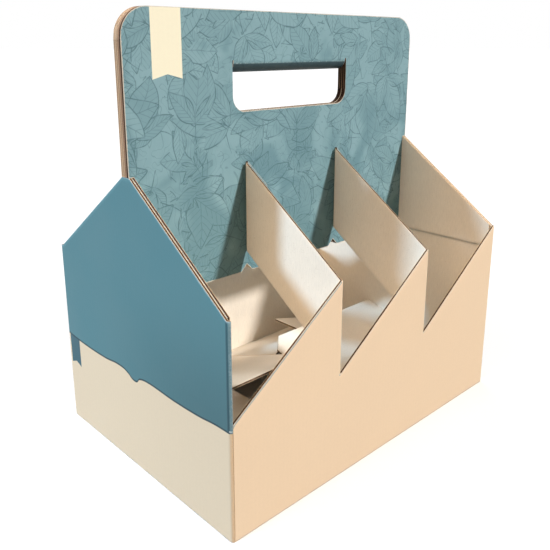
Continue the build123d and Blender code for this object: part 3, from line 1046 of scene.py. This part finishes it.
# flap pushed out of the hand hole and rolled back under its upper edge
def layHoleFlap(sheet):
    droop, bend = radians(handle["droop"]), handle["flapBend"]
    turn = pi / 2 - droop
    trim = bend * tan(turn / 2)
    reach = trim + handle["holeHeight"] - (bend - board["thick"] / 2) * turn
    frontY = -carrier["handleHalf"]
    corner = (frontY, holeTop - trim)
    tip = (frontY + reach * cos(droop), corner[1] - reach * sin(droop))
    run = roundedRun([(frontY, holeTop), corner, tip], [bend])
    marks = run[1]

    def place(u, v, n):
        point, ahead = runAt(run, v)
        return u, point.x - ahead.y * n, point.y + ahead.x * n
    half = holeHalf - handle["flapSideGap"]
    radius = handle["holeCorner"]

    def tipAt(u):
        return marks[-1] - radius + arcRise(half - abs(u), radius)
    steps = handle["rollSteps"]
    arcSteps = [marks[1] + (marks[2] - marks[1]) * number / steps for number in range(1, steps + 1)]
    layBoard(sheet, place, -half, half, 0, tipAt, "handlePrint", cutStart=True, cutEnd=True, lowCut=False,
             extra=arcColumns(half, radius), breaks=arcSteps)


def layPanel(sheet, turn, frontCore, backCore, hinged):
    thick = board["thick"]
    layPly(sheet, turn(straight(-halfLength, -2 * thick)), innerX - thick, frontCore, "cutEdge", hinged)
    layPly(sheet, turn(straight(-halfLength, 0, inward=-1)), innerX - board["bend"], backCore, backCore)
    layFlange(sheet, turn, handle["flangeSetback"] - halfWidth, "edgeCore")
    layFlange(sheet, lambda place: turn(mirrorX(place)), handle["closedGap"] - innerY, "cutEdge")


handleFinishes = ("handlePrint", "kraftInside", "fluteMedium", "edgeCore", "plyCore", "plyShade", "holeSill",
                  "cutEdge")
frontSheet = newSheet(*handleFinishes)
# the front panel's plies show the dark core and the darkened ply at their cut edges: painted shade
layPanel(frontSheet, asDrawn, "edgeCore", "plyShade", hinged=True)
layHoleFlap(frontSheet)
finishSheet(frontSheet, "frontHandleBoard", "front_handle_panel")
rearSheet = newSheet(*handleFinishes)
layPanel(rearSheet, halfTurn, "plyCore", "plyCore", hinged=False)
finishSheet(rearSheet, "rearHandleBoard", "rear_handle_panel")


# camera, floor and light
view = dict(place=(-0.25605, -0.25943, 0.21134), pitch=0.2618, yaw=0.7566, lens=42.75, sensor=36.0,
            shiftY=-0.1, nearest=0.01, farthest=100.0)
cameraData = bpy.data.cameras.new("camera")
cameraData.lens, cameraData.sensor_width, cameraData.shift_y = view["lens"], view["sensor"], view["shiftY"]
cameraData.clip_start, cameraData.clip_end = view["nearest"], view["farthest"]
camera = bpy.data.objects.new("camera", cameraData)
camera.location = view["place"]
camera.rotation_euler = (pi / 2 - view["pitch"], 0, -view["yaw"])
scene.collection.objects.link(camera)
scene.camera = camera

# suns, by turn and height in degrees
lamps = dict(
    key=dict(turn=296.0, height=32.0, spread=5.0, power=3.42, colour=(1.0, 0.98, 0.965)),
    window=dict(turn=158.0, height=35.5, spread=6.0, power=3.3, colour=(0.445, 0.718, 1.0)),
    fill=dict(turn=175.0, height=50.0, spread=36.0, power=2.25, colour=(1.0, 0.71, 0.47)),
    back=dict(turn=70.0, height=35.0, spread=50.0, power=1.4, colour=(1.0, 0.95, 0.88)),
    ceiling=dict(turn=270.0, height=84.0, spread=40.0, power=0.4, colour=(1.0, 0.95, 0.88)),
)
for name, lamp in lamps.items():
    lightData = bpy.data.lights.new(name, "SUN")
    lightData.angle = radians(lamp["spread"])
    lightData.energy = lamp["power"]
    lightData.color = lamp["colour"]
    light = bpy.data.objects.new(name, lightData)
    light.rotation_euler = (pi / 2 - radians(lamp["height"]), 0, radians(lamp["turn"]) + pi / 2)
    scene.collection.objects.link(light)


# what the eye, gloss and glass see is white; everything else gets the soft room light
def directSight(tree):
    rays = put(tree, "LightPath").outputs
    seen = calc(tree, "ADD", rays["Is Camera Ray"], rays["Is Glossy Ray"], clamp=True)
    return calc(tree, "ADD", seen, rays["Is Transmission Ray"], clamp=True)


room = dict(light=(0.97, 0.97, 1.0, 1), strength=0.04, floorColour=paint(70, 70, 70),
            floorSeen=(0.95, 0.95, 0.95, 1), floorHalf=30.0, floorRough=0.9, floorWhite=0.8,
            contactShadowReach=0.02)
world = bpy.data.worlds.new("room")
scene.world = world
world.use_nodes = True
worldTree = world.node_tree
background = worldTree.nodes["Background"]
worldSeen = directSight(worldTree)
worldTree.links.new(blendColour(worldTree, worldSeen, room["light"], white), background.inputs["Color"])
worldTree.links.new(calc(worldTree, "MULTIPLY_ADD", worldSeen, 1 - room["strength"], room["strength"]),
                    background.inputs["Strength"])

floorMesh = bpy.data.meshes.new("floor")
reach = room["floorHalf"]
floorCorners = [(-reach, -reach, 0), (reach, -reach, 0), (reach, reach, 0), (-reach, reach, 0)]
floorMesh.from_pydata(floorCorners, [], [(0, 1, 2, 3)])
floor = bpy.data.objects.new("floor", floorMesh)
scene.collection.objects.link(floor)
floorMaterial = bpy.data.materials.new("paleFloor")
floorMaterial.use_nodes = True
floorTree = floorMaterial.node_tree
floorShader = floorTree.nodes["Principled BSDF"]
floorSight = directSight(floorTree)
floorColour = blendColour(floorTree, floorSight, room["floorColour"], room["floorSeen"])
floorTree.links.new(floorColour, floorShader.inputs["Base Color"])
floorShader.inputs["Roughness"].default_value = room["floorRough"]
floorShader.inputs["Specular IOR Level"].default_value = 0.0
glow = put(floorTree, "Emission", {"Color": white, "Strength": 1.0})
floorSpot = put(floorTree, "SeparateXYZ", {0: put(floorTree, "TexCoord").outputs["Object"]}).outputs
# painted contact shadow: the floor's white glow fades out over the last 20 mm up to the carrier's footprint
# and is gone under it
outside = [minus(floorTree, calc(floorTree, "ABSOLUTE", floorSpot[axis]), half * mm)
           for axis, half in enumerate((halfLength, halfWidth))]
outsideContactShadow = softStep(floorTree, calc(floorTree, "MAXIMUM", *outside), 0.0, room["contactShadowReach"])
share = times(floorTree, times(floorTree, floorSight, outsideContactShadow), room["floorWhite"])
floorMix = put(floorTree, "MixShader", {0: share, 1: floorShader.outputs[0], 2: glow.outputs[0]})
floorTree.links.new(floorMix.outputs[0], floorTree.nodes["Material Output"].inputs["Surface"])
floorMesh.materials.append(floorMaterial)
print("camera, lamps and floor made")
